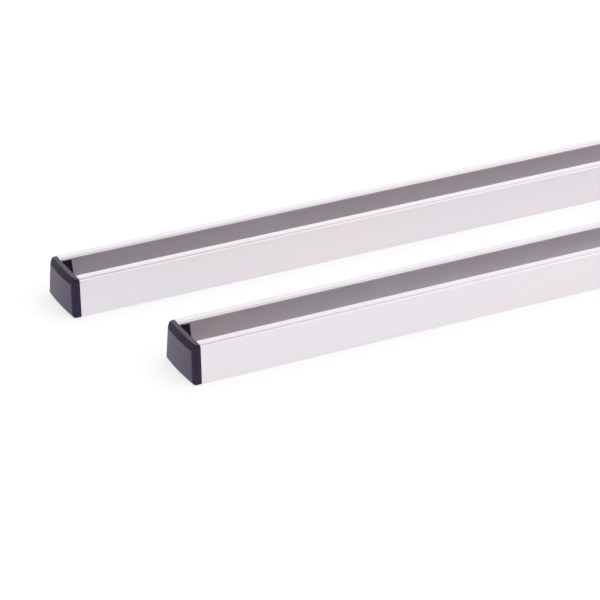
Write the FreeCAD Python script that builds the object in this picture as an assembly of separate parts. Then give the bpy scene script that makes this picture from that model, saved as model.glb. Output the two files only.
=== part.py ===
import FreeCAD, Part
import math
import os

# Two aluminium channel rails that lie side by side, each closed by a moulded
# cap at both ends. Sizes are in millimetres: X runs along the rails, Y across
# them and Z up from the surface they lie on.

# Rail section
rail_length = 1200.0
rail_height = 25.0
base_width = 40.0
top_width = 38.0
slot_width = 24.0
side_wall = 2.0
floor_thickness = 2.0
lip_thickness = 2.0
top_corner_radius = 1.8
base_corner_radius = 0.8
inside_corner_radius = 0.8
lip_edge_radius = 0.3

# Fixing holes through the rail's floor
fixing_hole_diameter = 6.5
fixing_hole_count = 4
fixing_hole_pitch = 300.0

# The pair as it lies
rail_spacing = 108.5
rail_stagger = 29.0

# Front of the end cap, whose depths are measured out from the rail's cut end
cap_top_step = 0.3
cap_side_step = 0.1
cap_top_radius = 1.6
cap_base_radius = 1.0
rim_depth = 3.1
panel_top_depth = 5.55
panel_base_depth = 6.2
crown_radius = 195.0
front_corner_top_radius = 4.8
front_corner_base_radius = 3.0
top_band_drop = 3.6
base_band_rise = 1.6
base_band_setback = 1.1
panel_edge_radius = 1.2

# Plug of the end cap, whose lengths are measured into the rail
plug_gap = 0.2
plug_wall = 1.8
plug_top_length = 8.7
plug_base_length = 11.1
plug_edge_radius = 0.3
pocket_depth = 2.6
pocket_corner_radius = 1.0
rib_width = 1.2
rib_lead_in = 3.0
rib_count = 2

V = FreeCAD.Vector
ALONG = V(1, 0, 0)
ACROSS = V(0, 1, 0)
UP = V(0, 0, 1)

under_lip = rail_height - lip_thickness
cap_top = rail_height - cap_top_step
panel_top = cap_top - top_band_drop
crown_centre = crown_radius - panel_base_depth
plug_top = under_lip - plug_gap
plug_base = floor_thickness + plug_gap
plug_side = side_wall + plug_gap
side_lean = math.atan2((base_width - top_width) / 2, rail_height)


def side_half(z, depth):
    """Half width at height z of a surface that lies depth inside the rail's outer side."""
    return base_width / 2 - z * math.tan(side_lean) - depth / math.cos(side_lean)


def rounded_wire(corners):
    """Closed wire through (point, radius) corners, each one rounded by an arc unless its radius is 0."""
    turns = []
    for index, (corner, radius) in enumerate(corners):
        before = corners[index - 1][0] - corner
        after = corners[(index + 1) % len(corners)][0] - corner
        before.normalize()
        after.normalize()
        middle = before + after
        middle.normalize()
        half_angle = before.getAngle(after) / 2
        reach = radius / math.tan(half_angle)
        start = corner + before * reach
        through = corner + middle * (radius / math.sin(half_angle) - radius)
        turns.append((start, through, corner + after * reach))
    edges = []
    for index, (start, through, end) in enumerate(turns):
        if corners[index][1] > 0:
            edges.append(Part.Arc(start, through, end).toShape())
        following = turns[(index + 1) % len(turns)][0]
        edges.append(Part.LineSegment(end, following).toShape())
    return Part.Wire(edges)


def section(x, half):
    """Symmetrical section in the plane x, from the (y, z, radius) corners of its +Y half."""
    corners = half + [(-y, z, radius) for y, z, radius in reversed(half)]
    return rounded_wire([(V(x, y, z), radius) for y, z, radius in corners])


def bar(x_start, x_end, half):
    """Solid of one symmetrical section between two planes across the rail."""
    return Part.Face(section(x_start, half)).extrude(ALONG * (x_end - x_start))


def make_rail():
    """Channel with a closed floor, leaning sides and two lips that leave a slot along its top."""
    rail = bar(0, rail_length, [
        (base_width / 2, 0, base_corner_radius),
        (top_width / 2, rail_height, top_corner_radius),
        (slot_width / 2, rail_height, lip_edge_radius),
        (slot_width / 2, under_lip, lip_edge_radius),
        (side_half(under_lip, side_wall), under_lip, inside_corner_radius),
        (side_half(floor_thickness, side_wall), floor_thickness, inside_corner_radius),
    ])
    first_hole = (rail_length - (fixing_hole_count - 1) * fixing_hole_pitch) / 2
    for number in range(fixing_hole_count):
        place = V(first_hole + number * fixing_hole_pitch, 0, 0)
        rail = rail.cut(Part.makeCylinder(fixing_hole_diameter / 2, floor_thickness, place, UP))
    return rail


def make_crown():
    """Body turned about an upright axis, with the front panel and the bands above and below it."""
    over = rim_depth / 2
    top_slope = (panel_top_depth - rim_depth) / top_band_drop
    base_slope = base_band_setback / base_band_rise
    profile = Part.Face(rounded_wire([
        (V(over, 0, -over), 0),
        (V(base_slope * (base_band_rise + over) - panel_base_depth, 0, -over), 0),
        (V(-panel_base_depth, 0, base_band_rise), panel_edge_radius),
        (V(-panel_top_depth, 0, panel_top), panel_edge_radius),
        (V(top_slope * (top_band_drop + over) - panel_top_depth, 0, cap_top + over), 0),
        (V(over, 0, cap_top + over), 0),
    ]))
    axis = V(crown_centre, 0, 0)
    half_sweep = math.degrees(math.asin(base_width / crown_radius))
    profile.rotate(axis, UP, -half_sweep)
    return profile.revolve(axis, UP, 2 * half_sweep)


def make_corner_cut(side):
    """What a rounded corner takes off the front: a wedge, less the cone that touches the side and the panel."""
    taper = (panel_base_depth - panel_top_depth) / (panel_top - base_band_rise)
    mean_radius = (front_corner_top_radius + front_corner_base_radius) / 2
    turn = math.asin((side_half(cap_top / 2, cap_side_step) - mean_radius) / (crown_radius - mean_radius))
    to_side = V(0, side * math.cos(side_lean), math.sin(side_lean))
    to_panel = V(-math.cos(turn), side * math.sin(turn), taper).normalize()

    def end(z):
        """Middle and radius of the rounding at height z."""
        radius = front_corner_base_radius + (front_corner_top_radius - front_corner_base_radius) * z / cap_top
        across = side_half(z, cap_side_step + radius)
        reach = crown_radius - taper * (z - base_band_rise) - radius * math.hypot(1, taper)
        along = crown_centre - (reach - across * math.sin(turn)) / math.cos(turn)
        return V(along, side * across, z), radius

    def kite(middle, radius):
        """Outline of the wedge, square to the cone's axis."""
        points = [V(0, 0, 0), to_side, (to_side + to_panel) * 2, to_panel, V(0, 0, 0)]
        return Part.makePolygon([middle + point * radius for point in points])

    low, low_radius = end(-rim_depth)
    high, high_radius = end(cap_top + rim_depth)
    length = low.distanceToPoint(high)
    opening = math.cos(math.asin((high_radius - low_radius) / length))
    cone = Part.makeCone(low_radius / opening, high_radius / opening, length, low, high - low)
    return Part.makeLoft([kite(low, low_radius), kite(high, high_radius)], True, True).cut(cone)


def make_front():
    """The part of the cap outside the rail: a crowned panel with rounded corners between two sloping bands."""
    block = bar(0, -2 * panel_base_depth, [
        (side_half(0, cap_side_step), 0, cap_base_radius),
        (side_half(cap_top, cap_side_step), cap_top, cap_top_radius),
    ])
    return block.common(make_crown()).cut([make_corner_cut(1), make_corner_cut(-1)])


def make_rib(height, side):
    """Crush rib on the outside of one plug leg: it meets the rail's wall and fades out at its tip."""
    def slice_at(x, crest_depth):
        root_depth = plug_side + plug_wall / 2
        points = [
            V(x, side * side_half(height - rib_width / 2, root_depth), height - rib_width / 2),
            V(x, side * side_half(height - rib_width / 4, crest_depth), height - rib_width / 4),
            V(x, side * side_half(height + rib_width / 4, crest_depth), height + rib_width / 4),
            V(x, side * side_half(height + rib_width / 2, root_depth), height + rib_width / 2),
        ]
        return Part.makePolygon(points + points[:1])

    tip = plug_top_length - plug_edge_radius
    slices = [slice_at(0, side_wall), slice_at(tip - rib_lead_in, side_wall), slice_at(tip, plug_side)]
    return Part.makeLoft(slices, True, True)


def make_plug():
    """Two legs joined by a web: they follow the channel's inside and leave its slot open."""
    inner_side = plug_side + plug_wall
    web_top = plug_base + plug_wall
    outer_radius = inside_corner_radius - plug_gap
    legs = bar(0, plug_base_length, [
        (side_half(plug_base, plug_side), plug_base, outer_radius),
        (side_half(plug_top, plug_side), plug_top, outer_radius),
        (side_half(plug_top, inner_side), plug_top, plug_edge_radius),
        (side_half(web_top, inner_side), web_top, inside_corner_radius),
    ])
    rake = Part.Face(Part.makePolygon([
        V(0, -base_width / 2, plug_base),
        V(plug_base_length, -base_width / 2, plug_base),
        V(plug_top_length, -base_width / 2, plug_top),
        V(0, -base_width / 2, plug_top),
        V(0, -base_width / 2, plug_base),
    ])).extrude(ACROSS * base_width)
    plug = legs.common(rake)
    for number in range(rib_count):
        height = plug_base + (plug_top - plug_base) * (number + 1) / (rib_count + 1)
        plug = plug.fuse([make_rib(height, 1), make_rib(height, -1)])
    return plug


def make_cap():
    """One moulding: the front, cored from behind, and the plug that holds it in the rail."""
    pocket_side = plug_side + plug_wall
    pocket = bar(0, -pocket_depth, [
        (side_half(plug_base + plug_wall, pocket_side), plug_base + plug_wall, pocket_corner_radius),
        (side_half(cap_top - plug_wall, pocket_side), cap_top - plug_wall, pocket_corner_radius),
    ])
    return make_front().cut(pocket).fuse(make_plug()).removeSplitter()


def export(shape, name, x, y):
    """Writes one piece of the pair, moved to its place."""
    placed = shape.copy()
    placed.translate(V(x, y, 0))
    placed.exportStep("parts/" + name + ".step")


def main():
    os.makedirs("parts", exist_ok=True)
    rail = make_rail()
    left_cap = make_cap()
    right_cap = left_cap.copy()
    right_cap.rotate(V(0, 0, 0), UP, 180)
    for name, side in (("rear", 1), ("front", -1)):
        left_end = -(rail_length + side * rail_stagger) / 2
        across = side * rail_spacing / 2
        export(rail, name + "_rail", left_end, across)
        export(left_cap, name + "_left_cap", left_end, across)
        export(right_cap, name + "_right_cap", left_end + rail_length, across)


if __name__ == "__main__":
    main()
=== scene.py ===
"""Looks of a pair of slotted aluminium roof rails with moulded end caps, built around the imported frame."""

import logging
import math
from dataclasses import dataclass
from enum import Enum

import bmesh
import bpy
from mathutils import Matrix, Vector


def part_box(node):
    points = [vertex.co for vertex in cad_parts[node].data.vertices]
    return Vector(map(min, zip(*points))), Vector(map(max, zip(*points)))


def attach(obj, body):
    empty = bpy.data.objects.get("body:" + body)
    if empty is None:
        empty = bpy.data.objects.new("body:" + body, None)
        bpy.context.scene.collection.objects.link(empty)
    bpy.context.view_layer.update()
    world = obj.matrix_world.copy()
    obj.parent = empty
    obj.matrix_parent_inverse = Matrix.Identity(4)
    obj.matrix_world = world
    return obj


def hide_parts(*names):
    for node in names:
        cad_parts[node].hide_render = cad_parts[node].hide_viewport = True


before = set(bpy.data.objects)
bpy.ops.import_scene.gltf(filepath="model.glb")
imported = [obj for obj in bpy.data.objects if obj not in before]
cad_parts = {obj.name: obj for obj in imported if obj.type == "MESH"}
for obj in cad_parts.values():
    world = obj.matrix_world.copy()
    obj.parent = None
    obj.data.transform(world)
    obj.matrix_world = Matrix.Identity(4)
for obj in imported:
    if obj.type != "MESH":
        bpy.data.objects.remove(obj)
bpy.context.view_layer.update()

BODY = "root"
MM = 0.001
# Two places in a section that are nearer than this are the same.
TOUCH = 0.01 * MM
# Segments of a rounding, from a slight edge to the crease that carries the rail's highlight.
EDGE_STEPS, CORNER_STEPS, LIP_STEPS, CREASE_STEPS = 3, 4, 8, 10
# Corner of a pressed section: distance from its middle plane, height, radius and segments of its rounding.
Corner = tuple[float, float, float, int]
Point = tuple[float, float, float]
log = logging.getLogger("roof_rails")


class End(Enum):
    """One end of a rail, with the turn about the upright axis that brings a left cap there."""

    LEFT = 0.0
    RIGHT = math.pi


class Row(Enum):
    """One rail of the pair."""

    REAR = "rear"
    FRONT = "front"


class Cut(Enum):
    """How a tool solid changes a piece."""

    JOIN = "UNION"
    REMOVE = "DIFFERENCE"


def linear(code: str) -> tuple[float, float, float, float]:
    """Turns an sRGB hex colour to linear values.

    Args:
        code: the colour as #rrggbb.

    Returns:
        Linear red, green and blue, and an alpha of 1.
    """
    channels = [int(code[at:at + 2], 16) / 255 for at in (1, 3, 5)]
    low, step, knee, power = 0.04045, 12.92, 0.055, 2.4
    values = [c / step if c <= low else ((c + knee) / (1 + knee)) ** power for c in channels]
    return (*values, 1.0)


def add_node(
    tree: bpy.types.NodeTree,
    kind: str,
    values: dict[str | int, object] | None = None,
    links: dict[str | int, bpy.types.NodeSocket] | None = None,
    **settings: object,
) -> bpy.types.Node:
    """Adds one node to a tree.

    Args:
        tree: the tree that gets the node.
        kind: the node's type name.
        values: what its unlinked inputs say, by name or number.
        links: the output socket that feeds each linked input, by name or number.
        settings: the node's own settings.

    Returns:
        The new node.
    """
    node = tree.nodes.new(kind)
    for name, value in settings.items():
        setattr(node, name, value)
    for key, value in (values or {}).items():
        node.inputs[key].default_value = value
    for key, socket in (links or {}).items():
        tree.links.new(socket, node.inputs[key])
    return node


def new_material(name: str) -> tuple[bpy.types.Material, bpy.types.NodeTree]:
    """Makes a material with an empty node tree.

    Args:
        name: the material's name.

    Returns:
        The material and its tree.
    """
    material = bpy.data.materials.new(name)
    material.use_nodes = True
    material.node_tree.nodes.clear()
    return material, material.node_tree


@dataclass(frozen=True)
class AnodisedExtrusion:
    """Natural anodised 6060 aluminium, pressed through a die, then etched and anodised.

    The etch gives the eye a broad satin sheen, with fine die lines along the rail. The clear film
    over it adds a second, tighter sheen, which shows as the highlight along each crease.
    """

    name: str = "anodised_aluminium_extrusion"
    silver: str = "#eae5eb"
    warm_silver: str = "#ece5e8"
    roughness: tuple[float, float] = (0.45, 0.51)
    film: float = 1.0
    film_roughness: float = 0.22
    patch_length: float = 140 * MM
    patch_width: float = 26 * MM
    patch_fade: tuple[float, float] = (0.4, 0.66)
    line_length: float = 600 * MM
    # Die lines are about 0.1 mm apart; they are drawn coarser so that they show at arm's length.
    line_pitch: float = 0.7 * MM
    line_fade: tuple[float, float] = (0.3, 0.7)
    line_depth: float = 0.004 * MM
    grain: float = 0.25 * MM
    grain_share: float = 0.25
    relief: float = 0.5

    def material(self) -> bpy.types.Material:
        """Builds the finish: bright satin metal with fine lines along the rail and faint warm patches.

        Returns:
            The material.
        """
        material, tree = new_material(self.name)
        place = add_node(tree, "ShaderNodeTexCoord").outputs["Object"]
        patch_scale = (1 / self.patch_length, 1 / self.patch_width, 1 / self.patch_width)
        patch_place = add_node(tree, "ShaderNodeMapping", {"Scale": patch_scale}, {"Vector": place})
        patches = add_node(
            tree, "ShaderNodeTexNoise", {"Scale": 1.0, "Detail": 2.0, "Roughness": 0.4},
            {"Vector": patch_place.outputs[0]},
        )
        line_scale = (1 / self.line_length, 1 / self.line_pitch, 1 / self.line_pitch)
        line_place = add_node(tree, "ShaderNodeMapping", {"Scale": line_scale}, {"Vector": place})
        lines = add_node(
            tree, "ShaderNodeTexNoise", {"Scale": 1.0, "Detail": 4.0, "Roughness": 0.65},
            {"Vector": line_place.outputs[0]},
        )
        grain_scale = (1 / self.grain,) * 3
        grain_place = add_node(tree, "ShaderNodeMapping", {"Scale": grain_scale}, {"Vector": place})
        grain = add_node(
            tree, "ShaderNodeTexNoise", {"Scale": 1.0, "Detail": 2.0},
            {"Vector": grain_place.outputs[0]},
        )
        patch_strength = add_node(
            tree, "ShaderNodeMapRange", {"From Min": self.patch_fade[0], "From Max": self.patch_fade[1]},
            {"Value": patches.outputs["Fac"]},
        )
        colour = add_node(
            tree, "ShaderNodeMix", {"A": linear(self.silver), "B": linear(self.warm_silver)},
            {"Factor": patch_strength.outputs["Result"]}, data_type="RGBA",
        )
        rough = add_node(
            tree, "ShaderNodeMapRange",
            {"From Min": self.line_fade[0], "From Max": self.line_fade[1],
             "To Min": self.roughness[0], "To Max": self.roughness[1]},
            {"Value": lines.outputs["Fac"]},
        )
        heights = add_node(
            tree, "ShaderNodeMath", {1: self.grain_share},
            {0: grain.outputs["Fac"], 2: lines.outputs["Fac"]}, operation="MULTIPLY_ADD",
        )
        bump = add_node(
            tree, "ShaderNodeBump", {"Strength": self.relief, "Distance": self.line_depth},
            {"Height": heights.outputs[0]},
        )
        shader = add_node(
            tree, "ShaderNodeBsdfPrincipled",
            {"Metallic": 1.0, "Coat Weight": self.film, "Coat Roughness": self.film_roughness},
            {"Base Color": colour.outputs["Result"], "Roughness": rough.outputs["Result"],
             "Normal": bump.outputs["Normal"]},
        )
        add_node(tree, "ShaderNodeOutputMaterial", None, {"Surface": shader.outputs[0]})
        return material


@dataclass(frozen=True)
class MouldedNylon:
    """Black glass-filled nylon, injection moulded in a tool whose end panel was spark-eroded.

    The polished bands look near black and satin. The eroded panel is rougher, and its paler grey colour is
    painted reflection of the pale floor.
    """

    name: str = "moulded_black_nylon"
    black: str = "#221b29"
    worn_black: str = "#2b2333"
    # Paler grey painted on the out-facing end panel: painted reflection of the pale floor, not the nylon's
    # own colour.
    painted_panel_reflection: str = "#574e62"
    sheen_tint: str = "#d8c8fa"
    polished: float = 0.24
    eroded: float = 0.38
    cloudiness: float = 0.08
    ior: float = 1.46
    cloud: float = 9 * MM
    # The mould's texture is about 0.1 mm; it is drawn coarser so that it shows at arm's length.
    texture: float = 0.3 * MM
    texture_depth: float = 0.02 * MM
    relief: float = 0.35
    # How squarely a surface faces out along the rail where the panel's rougher finish and its painted
    # reflection start and are whole.
    panel_fade: tuple[float, float] = (0.86, 0.97)

    def material(self) -> bpy.types.Material:
        """Builds the finish: a dark dielectric with a cloudy sheen, and a rougher end panel painted paler.

        The panel's rougher finish and its painted reflection, a paler grey, are drawn where the surface
        faces out along the rail, which leaves the bands darker.

        Returns:
            The material.
        """
        material, tree = new_material(self.name)
        place = add_node(tree, "ShaderNodeTexCoord").outputs["Object"]
        cloud_scale = (1 / self.cloud,) * 3
        cloud_place = add_node(tree, "ShaderNodeMapping", {"Scale": cloud_scale}, {"Vector": place})
        clouds = add_node(
            tree, "ShaderNodeTexNoise", {"Scale": 1.0, "Detail": 3.0},
            {"Vector": cloud_place.outputs[0]},
        )
        pebble_scale = (1 / self.texture,) * 3
        pebble_place = add_node(tree, "ShaderNodeMapping", {"Scale": pebble_scale}, {"Vector": place})
        pebbles = add_node(
            tree, "ShaderNodeTexNoise", {"Scale": 1.0, "Detail": 2.0, "Roughness": 0.6},
            {"Vector": pebble_place.outputs[0]},
        )
        skin = add_node(
            tree, "ShaderNodeMix", {"A": linear(self.black), "B": linear(self.worn_black)},
            {"Factor": clouds.outputs["Fac"]}, data_type="RGBA",
        )
        normal = add_node(tree, "ShaderNodeNewGeometry").outputs["Normal"]
        facing = add_node(tree, "ShaderNodeSeparateXYZ", None, {0: normal})
        position = add_node(tree, "ShaderNodeSeparateXYZ", None, {0: place})
        end = add_node(
            tree, "ShaderNodeMath", None, {0: position.outputs["X"]}, operation="SIGN",
        )
        outwards = add_node(
            tree, "ShaderNodeMath", None, {0: facing.outputs["X"], 1: end.outputs[0]},
            operation="MULTIPLY",
        )
        on_panel = add_node(
            tree, "ShaderNodeMapRange", {"From Min": self.panel_fade[0], "From Max": self.panel_fade[1]},
            {"Value": outwards.outputs[0]}, interpolation_type="SMOOTHSTEP",
        )
        # Painted reflection: the out-facing panel is painted paler grey, standing in for the pale floor that
        # it reflects.
        colour = add_node(
            tree, "ShaderNodeMix", {"B": linear(self.painted_panel_reflection)},
            {"Factor": on_panel.outputs["Result"], "A": skin.outputs["Result"]}, data_type="RGBA",
        )
        smoothness = add_node(
            tree, "ShaderNodeMapRange", {"To Min": self.polished, "To Max": self.eroded},
            {"Value": on_panel.outputs["Result"]},
        )
        rough = add_node(
            tree, "ShaderNodeMath", {1: self.cloudiness},
            {0: clouds.outputs["Fac"], 2: smoothness.outputs["Result"]}, operation="MULTIPLY_ADD",
        )
        bump = add_node(
            tree, "ShaderNodeBump", {"Strength": self.relief, "Distance": self.texture_depth},
            {"Height": pebbles.outputs["Fac"]},
        )
        shader = add_node(
            tree, "ShaderNodeBsdfPrincipled",
            {"Metallic": 0.0, "IOR": self.ior, "Specular Tint": linear(self.sheen_tint)},
            {"Base Color": colour.outputs["Result"], "Roughness": rough.outputs[0],
             "Normal": bump.outputs["Normal"]},
        )
        add_node(tree, "ShaderNodeOutputMaterial", None, {"Surface": shader.outputs[0]})
        return material


def settle(shape: bmesh.types.BMesh, name: str) -> bpy.types.Object:
    """Turns a finished closed bmesh into an object at the origin, and frees the bmesh.

    Args:
        shape: the closed shape.
        name: the object's name.

    Returns:
        The new object.
    """
    shape.normal_update()
    bmesh.ops.recalc_face_normals(shape, faces=shape.faces[:])
    mesh = bpy.data.meshes.new(name)
    shape.to_mesh(mesh)
    shape.free()
    piece = bpy.data.objects.new(name, mesh)
    bpy.context.scene.collection.objects.link(piece)
    return piece


def combine(piece: bpy.types.Object, tool: bpy.types.Object, cut: Cut) -> None:
    """Changes a piece by a tool solid, and removes the tool.

    Args:
        piece: the object that is changed.
        tool: the closed solid that is used up.
        cut: what the tool does.
    """
    modifier = piece.modifiers.new("combine", "BOOLEAN")
    modifier.object = tool
    modifier.operation = cut.value
    modifier.solver = "EXACT"
    bpy.context.view_layer.update()
    graph = bpy.context.evaluated_depsgraph_get()
    result = bpy.data.meshes.new_from_object(piece.evaluated_get(graph))
    piece.modifiers.remove(modifier)
    spent = piece.data
    piece.data = result
    bpy.data.meshes.remove(spent)
    bpy.data.objects.remove(tool)


def dress(piece: bpy.types.Object, material: bpy.types.Material, sharp_angle: float) -> None:
    """Gives a piece its finish and smooth shading that keeps flats flat and real edges sharp.

    Args:
        piece: the object to dress.
        material: its only material.
        sharp_angle: the turn, in degrees, from which an edge stays sharp.
    """
    piece.data.materials.clear()
    piece.data.materials.append(material)
    piece.data.polygons.foreach_set("use_smooth", [True] * len(piece.data.polygons))
    piece.data.set_sharp_from_angle(angle=math.radians(sharp_angle))
    weighted = piece.modifiers.new("flat_faces_stay_flat", "WEIGHTED_NORMAL")
    weighted.keep_sharp = True


def smooth_max(first: float, second: float, reach: float) -> float:
    """Takes the larger of two distances, with a soft turn where they differ by less than the reach."""
    overlap = max(0.0, reach - abs(first - second)) / reach
    return max(first, second) + overlap * overlap * reach / 4


def press(half: list[Corner], start: float, end: float, across: float = 0.0) -> bmesh.types.BMesh:
    """Presses a symmetrical section along the rail and rounds its long edges.

    Args:
        half: the corners of the section's +Y half, in order.
        start: where the bar starts along the rail.
        end: where it ends.
        across: where the section's middle plane lies.

    Returns:
        The closed bar.
    """
    corners = half + [(-y, z, radius, segments) for y, z, radius, segments in reversed(half)]
    bm = bmesh.new()
    ring = [bm.verts.new((start, across + y, z)) for y, z, _, _ in corners]
    grown = bmesh.ops.extrude_face_region(bm, geom=[bm.faces.new(ring)], use_keep_orig=True)["geom"]
    far = [item for item in grown if isinstance(item, bmesh.types.BMVert)]
    bmesh.ops.translate(bm, verts=far, vec=(end - start, 0, 0))
    for rounding in sorted({corner[2:] for corner in corners}, reverse=True):
        radius, segments = rounding
        places = [Vector((across + corner[0], corner[1])) for corner in corners if corner[2:] == rounding]
        edges = [
            edge for edge in bm.edges
            if abs(edge.verts[0].co.x - edge.verts[1].co.x) > (end - start) / 2
            and any((edge.verts[0].co.yz - place).length < TOUCH for place in places)
        ]
        bmesh.ops.bevel(
            bm, geom=edges, offset=radius, offset_type="OFFSET", segments=segments,
            profile=0.5, affect="EDGES", material=-1,
        )
    return bm


@dataclass
class SlottedRail:
    """A channel with leaning sides, a closed floor and two lips that leave a slot along its top.

    Sizes are in metres.
    """

    row: Row
    height: float = 25 * MM
    base_width: float = 40 * MM
    top_width: float = 38 * MM
    slot_width: float = 24 * MM
    side_wall: float = 2 * MM
    floor: float = 2 * MM
    lip: float = 2 * MM
    top_corner: float = 1.8 * MM
    base_corner: float = 0.8 * MM
    inside_corner: float = 0.8 * MM
    lip_top_edge: float = 1.2 * MM
    lip_under_edge: float = 0.3 * MM
    hole_diameter: float = 6.5 * MM
    hole_count: int = 4
    hole_pitch: float = 300 * MM
    hole_sides: int = 48
    sharp_angle: float = 35.0

    @property
    def node(self) -> str:
        """Name of the rail's node in the frame."""
        return self.row.value + "_rail"

    @property
    def lean(self) -> float:
        """Angle by which a side leans in from upright."""
        return math.atan2((self.base_width - self.top_width) / 2, self.height)

    def side_half(self, z: float, depth: float = 0.0) -> float:
        """Half width at a height.

        Args:
            z: height above the surface that the rail lies on.
            depth: how far inside the rail's outer side.

        Returns:
            Distance from the rail's middle plane.
        """
        return self.base_width / 2 - z * math.tan(self.lean) - depth / math.cos(self.lean)

    def half_section(self) -> list[Corner]:
        """Lists the corners of the section's +Y half.

        Returns:
            The corners, with those of the outside first.
        """
        under_lip = self.height - self.lip
        inner_top = self.side_half(under_lip, self.side_wall)
        inner_base = self.side_half(self.floor, self.side_wall)
        return [
            (self.base_width / 2, 0.0, self.base_corner, CORNER_STEPS),
            (self.top_width / 2, self.height, self.top_corner, CREASE_STEPS),
            (self.slot_width / 2, self.height, self.lip_top_edge, LIP_STEPS),
            (self.slot_width / 2, under_lip, self.lip_under_edge, EDGE_STEPS),
            (inner_top, under_lip, self.inside_corner, CORNER_STEPS),
            (inner_base, self.floor, self.inside_corner, CORNER_STEPS),
        ]

    def drills(self, low: Vector, high: Vector) -> bpy.types.Object:
        """Makes one tool of all the fixing holes' cylinders.

        Args:
            low: the rail's lowest corner in the frame.
            high: its highest corner.

        Returns:
            The tool.
        """
        bm = bmesh.new()
        first = (low.x + high.x - (self.hole_count - 1) * self.hole_pitch) / 2
        for number in range(self.hole_count):
            place = Vector((first + number * self.hole_pitch, (low.y + high.y) / 2, self.floor / 2))
            bmesh.ops.create_cone(
                bm, cap_ends=True, segments=self.hole_sides, depth=2 * self.floor,
                radius1=self.hole_diameter / 2, radius2=self.hole_diameter / 2,
                matrix=Matrix.Translation(place),
            )
        return settle(bm, self.node + "_drills")

    def build(self, material: bpy.types.Material) -> bpy.types.Object:
        """Builds the rail in place of its node.

        Args:
            material: the rail's finish.

        Returns:
            The finished piece.
        """
        low, high = (Vector(corner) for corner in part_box(self.node))
        bar = press(self.half_section(), low.x, high.x, (low.y + high.y) / 2)
        piece = settle(bar, self.node + "_extrusion")
        combine(piece, self.drills(low, high), Cut.REMOVE)
        dress(piece, material, self.sharp_angle)
        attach(piece, BODY)
        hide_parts(self.node)
        return piece


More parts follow.
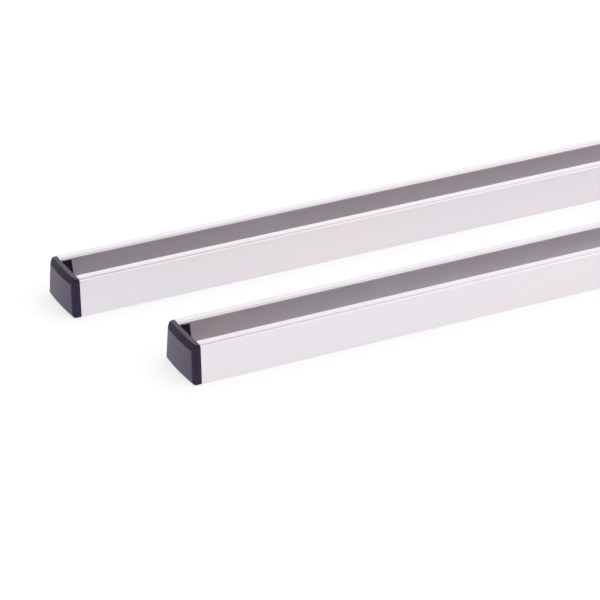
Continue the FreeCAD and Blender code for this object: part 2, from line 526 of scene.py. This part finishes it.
@dataclass
class EndCap:
    """One moulding that closes a rail's end: a soft-edged front, cored from behind, and its plug.

    It is shaped for a left end whose cut lies at x = 0. Depths are measured out from that cut, and
    sizes are in metres.
    """

    rail: SlottedRail
    end: End
    top_step: float = 0.3 * MM
    side_step: float = 0.1 * MM
    # The soft roundings are stated by how far they reach over the faces beside them.
    top_corner: float = 1.8 * MM
    base_corner: float = 1.2 * MM
    top_rim: float = 0.5 * MM
    base_rim: float = 0.25 * MM
    crease_softness: float = 0.2 * MM
    # The flat base and top start this many reaches inside the rim, clear of its rounding.
    rim_margin: float = 1.25
    rim_depth: float = 3.1 * MM
    panel_top_depth: float = 5.55 * MM
    # A hair less than the solid's 6.2 mm, because a soft edge stands a little proud.
    panel_base_depth: float = 6.19 * MM
    crown_radius: float = 195 * MM
    front_corner_top: float = 4.8 * MM
    front_corner_base: float = 3.0 * MM
    top_band_drop: float = 3.6 * MM
    base_band_rise: float = 1.6 * MM
    base_band_setback: float = 1.1 * MM
    plug_gap: float = 0.2 * MM
    plug_wall: float = 1.8 * MM
    plug_top_length: float = 8.7 * MM
    plug_base_length: float = 11.1 * MM
    plug_edge: float = 0.3 * MM
    pocket_depth: float = 2.6 * MM
    pocket_corner: float = 1.0 * MM
    pocket_overlap: float = 0.02 * MM
    rib_width: float = 1.2 * MM
    rib_lead_in: float = 3.0 * MM
    rib_count: int = 2
    # The rib's crest ends this many gaps deep, just inside the leg, so that it fades out.
    rib_fade: float = 1.1
    core_inset: float = 6 * MM
    corner_columns: int = 9
    panel_columns: int = 12
    # Rows of faces under the base, on the lower band, the panel, the upper band and the top.
    row_steps: tuple[int, ...] = (4, 6, 10, 8, 5)
    # A line from the core is searched this far, where the sharp outline lies at 1.
    search_reach: float = 1.4
    halvings: int = 30
    sharp_angle: float = 40.0

    @property
    def node(self) -> str:
        """Name of the cap's node in the frame."""
        return f"{self.rail.row.value}_{self.end.name.lower()}_cap"

    @property
    def top(self) -> float:
        """Height of the cap's top."""
        return self.rail.height - self.top_step

    @property
    def panel_top(self) -> float:
        """Height at which the panel meets the band above it."""
        return self.top - self.top_band_drop

    @property
    def crown_centre(self) -> float:
        """Distance of the crown's upright axis from the rail's cut end."""
        return self.crown_radius - self.panel_base_depth

    @property
    def columns(self) -> int:
        """Number of columns round the front, from the cut end on -Y to the one on +Y."""
        return self.panel_columns + 2 * self.corner_columns + 2

    @property
    def plug_side(self) -> float:
        """Depth of the plug's outside inside the rail's outer side."""
        return self.rail.side_wall + self.plug_gap

    @property
    def plug_base(self) -> float:
        """Height of the plug's underside."""
        return self.rail.floor + self.plug_gap

    @property
    def plug_top(self) -> float:
        """Height of the plug's top, under the rail's lips."""
        return self.rail.height - self.rail.lip - self.plug_gap

    def half(self, z: float) -> float:
        """Half width of the cap at a height."""
        return self.rail.side_half(z, self.side_step)

    def place(self, column: int, inset: float, z: float) -> Vector:
        """Finds a point inside the front's outline, where no band is cut.

        Args:
            column: number of the line up the front.
            inset: how far inside the outline, square to it.
            z: height above the base.

        Returns:
            The point, inside a straight side's end, a rounded corner or the crowned panel.
        """
        side = math.copysign(1, 2 * column - self.columns)
        from_side = min(column, self.columns - column)
        if from_side == 0:
            return Vector((0, side * (self.half(z) - inset), z))
        taper = (self.panel_base_depth - self.panel_top_depth) / (self.panel_top - self.base_band_rise)
        crown = self.crown_radius - taper * (z - self.base_band_rise)
        corner = self.front_corner_base + (self.front_corner_top - self.front_corner_base) * z / self.top
        across = self.half(z) - corner
        panel_turn = math.asin(across / (crown - corner))
        round_corner = (from_side - 1) / self.corner_columns
        if round_corner < 1:
            turn = math.pi / 2 + (panel_turn - math.pi / 2) * round_corner
            middle = self.crown_centre - (crown - corner) * math.cos(panel_turn)
            along = middle - (corner - inset) * math.cos(turn)
            return Vector((along, side * (across + (corner - inset) * math.sin(turn)), z))
        turn = panel_turn * (2 * (column - self.corner_columns - 1) / self.panel_columns - 1)
        reach = crown - inset
        return Vector((self.crown_centre - reach * math.cos(turn), reach * math.sin(turn), z))

    def past_band(self, point: Vector) -> float:
        """Tells how far a point lies outside the band above or below the panel.

        Args:
            point: the point, whose band is the nearer one, carried on past its crease.

        Returns:
            A distance that is negative inside.
        """
        depth = math.hypot(self.crown_centre - point.x, point.y) - self.crown_centre
        if point.z > self.top / 2:
            slope = (self.panel_top_depth - self.rim_depth) / self.top_band_drop
            past = depth - self.panel_top_depth - slope * (self.panel_top - point.z)
        else:
            slope = self.base_band_setback / self.base_band_rise
            past = depth - self.panel_base_depth - slope * (point.z - self.base_band_rise)
        return past / math.hypot(1, slope)

    def softness(self, column: int, z: float) -> float:
        """Tells how far the rounding of the rim reaches, which is more at the sides than in front.

        Args:
            column: number of the line up the front.
            z: height above the base.

        Returns:
            The distance from either face at which the rounding starts.
        """
        upper = z > self.top / 2
        front, side = (self.top_rim, self.top_corner) if upper else (self.base_rim, self.base_corner)
        from_side = min(column, self.columns - column)
        share = min(1, max(0, (from_side - 1) / self.corner_columns))
        return side + (front - side) * share * share * (3 - 2 * share)

    def outside(self, column: int, inset: float, z: float) -> float:
        """Tells how far a point lies outside the front, blended over its creases and its rim.

        Args:
            column: number of the line up the front.
            inset: how far inside the outline.
            z: height above the base.

        Returns:
            A distance that is negative inside.
        """
        band = self.past_band(self.place(column, inset, z))
        front = smooth_max(-inset, band, self.crease_softness)
        return smooth_max(front, max(z - self.top, -z), self.softness(column, z))

    def crease(self, column: int, rim: float) -> float:
        """Finds where a line up the front meets a band, kept clear of the rim's rounding.

        Args:
            column: number of the line.
            rim: height of the rim beyond the band.

        Returns:
            The height.
        """
        inner, outer = self.top / 2, rim + (self.base_corner if rim == 0 else -self.top_corner)
        if self.past_band(self.place(column, 0, outer)) < 0:
            return outer
        for _ in range(self.halvings):
            middle = (inner + outer) / 2
            if self.past_band(self.place(column, 0, middle)) < 0:
                inner = middle
            else:
                outer = middle
        return inner

    def profile(self, column: int) -> list[tuple[float, float]]:
        """Lists the corners up a column.

        Args:
            column: number of the column.

        Returns:
            Their insets and heights, from the underside of the base to the top of the rim.
        """
        ends = []
        for rim in (0.0, self.top):
            cut = max(0, self.past_band(self.place(column, 0, rim)))
            margin = self.rim_margin * self.softness(column, rim)
            ends.append([(cut + margin, rim), (cut, rim), (0.0, self.crease(column, rim))])
        return ends[0] + ends[1][::-1]

    def meet(self, column: int, aim: tuple[float, float]) -> Vector:
        """Finds where a line that fans out from inside the cap meets the soft surface.

        Args:
            column: number of the column that the line lies in.
            aim: inset and height of the sharp outline's point that the line runs through.

        Returns:
            The point on the surface.
        """
        core = (self.core_inset, self.top / 2)
        near, far = 0.0, self.search_reach
        for _ in range(self.halvings):
            middle = (near + far) / 2
            inset, z = (start + (end - start) * middle for start, end in zip(core, aim))
            if self.outside(column, inset, z) < 0:
                near = middle
            else:
                far = middle
        return self.place(column, inset, z)

    def surface(self, column: int) -> list[Vector]:
        """Finds the points up one column, which lie closer together near its corners.

        Args:
            column: number of the column.

        Returns:
            The points, from the underside of the base to the top of the rim.
        """
        corners = self.profile(column)
        points = []
        for number, steps in enumerate(self.row_steps):
            (inset_from, z_from), (inset_to, z_to) = corners[number:number + 2]
            last = number == len(self.row_steps) - 1
            for step in range(steps + last):
                share = (1 - math.cos(math.pi * step / steps)) / 2
                aim = (inset_from + (inset_to - inset_from) * share, z_from + (z_to - z_from) * share)
                points.append(self.meet(column, aim))
        return points

    def front(self) -> bmesh.types.BMesh:
        """Shapes the part of the cap outside the rail, with soft creases and a soft rim.

        Returns:
            A closed solid that ends at the rail's cut end.
        """
        rows = sum(self.row_steps)
        bm = bmesh.new()
        bmesh.ops.create_grid(bm, x_segments=self.columns, y_segments=rows, size=1)
        grid = {}
        for vert in bm.verts:
            grid[round((vert.co.x + 1) / 2 * self.columns), round((vert.co.y + 1) / 2 * rows)] = vert
        for column in range(self.columns + 1):
            for row, point in enumerate(self.surface(column)):
                grid[column, row].co = point
        for row in (0, rows):
            bm.faces.new([grid[column, row] for column in range(self.columns + 1)])
        back = [grid[0, row] for row in range(rows + 1)]
        bm.faces.new(back + [grid[self.columns, row] for row in reversed(range(rows + 1))])
        return bm

    def plug(self) -> bmesh.types.BMesh:
        """Shapes the U of the plug, which reaches into the front and has a raked end.

        Returns:
            The closed plug, without its ribs.
        """
        inner = self.plug_side + self.plug_wall
        web = self.plug_base + self.plug_wall
        outside = self.rail.inside_corner - self.plug_gap
        half = self.rail.side_half
        bm = press([
            (half(self.plug_base, self.plug_side), self.plug_base, outside, CORNER_STEPS),
            (half(self.plug_top, self.plug_side), self.plug_top, outside, CORNER_STEPS),
            (half(self.plug_top, inner), self.plug_top, self.plug_edge, EDGE_STEPS),
            (half(web, inner), web, self.rail.inside_corner, CORNER_STEPS),
        ], -self.plug_wall / 2, self.plug_base_length)
        for vert in bm.verts:
            if vert.co.x > 0:
                rake = (vert.co.z - self.plug_base) / (self.plug_top - self.plug_base)
                vert.co.x -= rake * (self.plug_base_length - self.plug_top_length)
        return bm

    def rib(self, height: float, side: int) -> bmesh.types.BMesh:
        """Shapes one crush rib on the outside of a plug leg, which fades out towards its tip.

        Args:
            height: height of the rib's middle.
            side: 1 for the leg on +Y, -1 for the other.

        Returns:
            The closed rib.
        """
        tip = self.plug_top_length - self.plug_edge
        root = self.plug_side + self.plug_wall / 2
        bm = bmesh.new()
        bmesh.ops.create_cube(bm, size=1)
        far = [face for face in bm.faces if face.normal.x > 0.5]
        grown = bmesh.ops.extrude_face_region(bm, geom=far)["geom"]
        bmesh.ops.delete(bm, geom=far, context="FACES_ONLY")
        tips = [item for item in grown if isinstance(item, bmesh.types.BMVert)]
        bmesh.ops.translate(bm, verts=tips, vec=(1, 0, 0))
        # Where each of the unit shape's three slices along X goes: root, end of the crest and tip.
        places = {-0.5: -self.plug_wall / 4, 0.5: tip - self.rib_lead_in, 1.5: tip}
        for vert in bm.verts:
            x, crest = round(vert.co.x, 1), vert.co.y > 0
            z = height + math.copysign(self.rib_width / (4 if crest else 2), vert.co.z)
            faded = self.rib_fade * self.plug_gap if x > 1 else 0
            depth = self.rail.side_wall + faded if crest else root
            vert.co = (places[x], side * self.rail.side_half(z, depth), z)
        return bm

    def pocket(self) -> bmesh.types.BMesh:
        """Shapes the hollow behind the front.

        Returns:
            The closed tool that cuts it.
        """
        inner = self.plug_side + self.plug_wall
        web = self.plug_base + self.plug_wall
        top = self.top - self.plug_wall
        return press([
            (self.rail.side_half(web, inner), web, self.pocket_corner, CORNER_STEPS),
            (self.rail.side_half(top, inner), top, self.pocket_corner, CORNER_STEPS),
        ], -self.pocket_depth, self.pocket_overlap)

    def moulding(self) -> bpy.types.Object:
        """Joins the front and the ribbed plug, and cuts the pocket.

        Returns:
            The whole cap, still at the place where it is shaped.
        """
        piece = settle(self.front(), self.node + "_moulding")
        plug = settle(self.plug(), self.node + "_plug")
        for number in range(self.rib_count):
            share = (number + 1) / (self.rib_count + 1)
            height = self.plug_base + (self.plug_top - self.plug_base) * share
            for side in (1, -1):
                combine(plug, settle(self.rib(height, side), self.node + "_rib"), Cut.JOIN)
        combine(piece, plug, Cut.JOIN)
        combine(piece, settle(self.pocket(), self.node + "_pocket"), Cut.REMOVE)
        return piece

    def build(self, material: bpy.types.Material) -> bpy.types.Object:
        """Builds the cap in place of its node.

        Args:
            material: the cap's finish.

        Returns:
            The finished piece.
        """
        piece = self.moulding()
        rail_low, rail_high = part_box(self.rail.node)
        cut_end = rail_low[0] if self.end is End.LEFT else rail_high[0]
        place = Matrix.Translation((cut_end, (rail_low[1] + rail_high[1]) / 2, 0))
        piece.data.transform(place @ Matrix.Rotation(self.end.value, 4, "Z"))
        dress(piece, material, self.sharp_angle)
        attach(piece, BODY)
        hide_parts(self.node)
        return piece


@dataclass(frozen=True)
class Softbox:
    """One rectangular lamp, whose face looks white at a brightness of 1. Sizes are in metres."""

    name: str
    place: Point
    aim: Point
    size: tuple[float, float]
    brightness: float

    def hang(self) -> None:
        """Hangs the lamp at its place, turned to its aim."""
        data = bpy.data.lights.new(self.name, "AREA")
        data.shape = "RECTANGLE"
        data.size, data.size_y = self.size
        data.energy = self.brightness * math.pi * self.size[0] * self.size[1]
        lamp = bpy.data.objects.new(self.name, data)
        lamp.location = self.place
        aim = Vector(self.aim) - Vector(self.place)
        lamp.rotation_euler = aim.to_track_quat("-Z", "Y").to_euler()
        bpy.context.scene.collection.objects.link(lamp)


@dataclass
class Studio:
    """A white table and surround, soft lamps and the photograph's point of view.

    Sizes are in metres and angles in degrees.
    """

    focal_pixels: float = 2729.8
    image_pixels: int = 600
    sensor: float = 36.0
    camera_place: Point = (-1.1561, -1.32305, 0.7566)
    heading: float = 26.901
    dip: float = 27.098
    table_size: float = 14.0
    table: str = "#a8a8a9"
    floor_glow: float = 0.66
    sky_light: float = 0.8
    # Reflections see a surround that is dimmer overhead and to the left.
    ceiling: float = 0.42
    ceiling_starts: float = 28.0
    ceiling_ends: float = 40.0
    dim_left: float = 0.5
    left_fade: tuple[float, float] = (-0.5, 0.1)
    softboxes: tuple[Softbox, ...] = (
        Softbox("softbox_behind", (0.4, 2.1, 1.15), (-0.4, 0.0, 0.0), (2.0, 0.9), 0.55),
        Softbox("softbox_above", (0.75, 0.35, 1.9), (-0.1, 0.0, 0.0), (3.0, 0.7), 1.0),
        Softbox("softbox_front", (0.75, -1.4, 1.5), (-0.1, 0.0, 0.0), (2.4, 0.6), 2.0),
    )

    def camera(self) -> None:
        """Sets the camera at the photograph's viewing angle."""
        data = bpy.data.cameras.new("camera")
        data.sensor_width = self.sensor
        data.lens = self.sensor * self.focal_pixels / self.image_pixels
        data.clip_end = 2 * self.table_size
        camera = bpy.data.objects.new("camera", data)
        camera.location = self.camera_place
        camera.rotation_euler = (math.radians(90 - self.dip), 0, math.radians(-self.heading))
        bpy.context.scene.collection.objects.link(camera)
        bpy.context.scene.camera = camera

    def seen_directly(self, tree: bpy.types.NodeTree) -> bpy.types.NodeSocket:
        """Builds the test of whether a ray shows a surface or only brings its light.

        Args:
            tree: the tree that gets the test.

        Returns:
            A socket that is 1 for camera, glossy and transmission rays, and 0 for the others.
        """
        path = add_node(tree, "ShaderNodeLightPath")
        first = add_node(
            tree, "ShaderNodeMath", None,
            {0: path.outputs["Is Camera Ray"], 1: path.outputs["Is Glossy Ray"]}, operation="MAXIMUM",
        )
        both = add_node(
            tree, "ShaderNodeMath", None,
            {0: first.outputs[0], 1: path.outputs["Is Transmission Ray"]}, operation="MAXIMUM",
        )
        return both.outputs[0]

    def surround(self) -> None:
        """Sets the surround, which is plain white to the camera."""
        world = bpy.data.worlds.new("white_surround")
        world.use_nodes = True
        world.node_tree.nodes.clear()
        tree = world.node_tree
        place = add_node(tree, "ShaderNodeTexCoord").outputs["Generated"]
        axes = add_node(tree, "ShaderNodeSeparateXYZ", None, {0: place})
        starts = math.sin(math.radians(self.ceiling_starts))
        ends = math.sin(math.radians(self.ceiling_ends))
        ceiling = add_node(
            tree, "ShaderNodeMapRange",
            {"From Min": starts, "From Max": ends, "To Min": 1.0, "To Max": self.ceiling},
            {"Value": axes.outputs["Z"]}, interpolation_type="SMOOTHSTEP",
        )
        left = add_node(
            tree, "ShaderNodeMapRange",
            {"From Min": self.left_fade[0], "From Max": self.left_fade[1],
             "To Min": self.dim_left, "To Max": 1.0},
            {"Value": axes.outputs["X"]}, interpolation_type="SMOOTHSTEP",
        )
        shade = add_node(
            tree, "ShaderNodeMath", None,
            {0: ceiling.outputs["Result"], 1: left.outputs["Result"]}, operation="MULTIPLY",
        )
        strength = add_node(
            tree, "ShaderNodeMix", {"A": self.sky_light},
            {"Factor": self.seen_directly(tree), "B": shade.outputs[0]},
        )
        background = add_node(
            tree, "ShaderNodeMath", None,
            {0: strength.outputs[0], 1: add_node(tree, "ShaderNodeLightPath").outputs["Is Camera Ray"]},
            operation="MAXIMUM",
        )
        glow = add_node(
            tree, "ShaderNodeBackground", {"Color": (1, 1, 1, 1)}, {"Strength": background.outputs[0]},
        )
        add_node(tree, "ShaderNodeOutputWorld", None, {"Surface": glow.outputs[0]})
        bpy.context.scene.world = world

    def floor(self) -> None:
        """Lays the white table that keeps the object's soft shadow."""
        bm = bmesh.new()
        bmesh.ops.create_grid(bm, x_segments=1, y_segments=1, size=self.table_size / 2)
        table = settle(bm, "table")
        material, tree = new_material("white_table")
        paint = add_node(tree, "ShaderNodeBsdfDiffuse", {"Color": linear(self.table)})
        strength = add_node(
            tree, "ShaderNodeMath", {1: self.floor_glow}, {0: self.seen_directly(tree)},
            operation="MULTIPLY",
        )
        glow = add_node(
            tree, "ShaderNodeEmission", {"Color": (1, 1, 1, 1)}, {"Strength": strength.outputs[0]},
        )
        both = add_node(tree, "ShaderNodeAddShader", None, {0: paint.outputs[0], 1: glow.outputs[0]})
        add_node(tree, "ShaderNodeOutputMaterial", None, {"Surface": both.outputs[0]})
        table.data.materials.append(material)

    def set_up(self) -> None:
        """Sets the camera, the surround, the table and the lamps."""
        self.camera()
        self.surround()
        self.floor()
        for softbox in self.softboxes:
            softbox.hang()
        bpy.context.scene.view_settings.view_transform = "Standard"


def main() -> None:
    """Builds the studio, the rails and their caps."""
    Studio().set_up()
    silver = AnodisedExtrusion().material()
    black = MouldedNylon().material()
    for row in Row:
        rail = SlottedRail(row)
        log.info("built %s", rail.build(silver).name)
        for end in End:
            log.info("built %s", EndCap(rail, end).build(black).name)


def write_sizes() -> None:
    """Brings the view layer up to date."""
    bpy.context.view_layer.update()


if __name__ == "__main__":
    logging.basicConfig(level=logging.INFO, format="%(name)s: %(message)s")
    main()
    write_sizes()
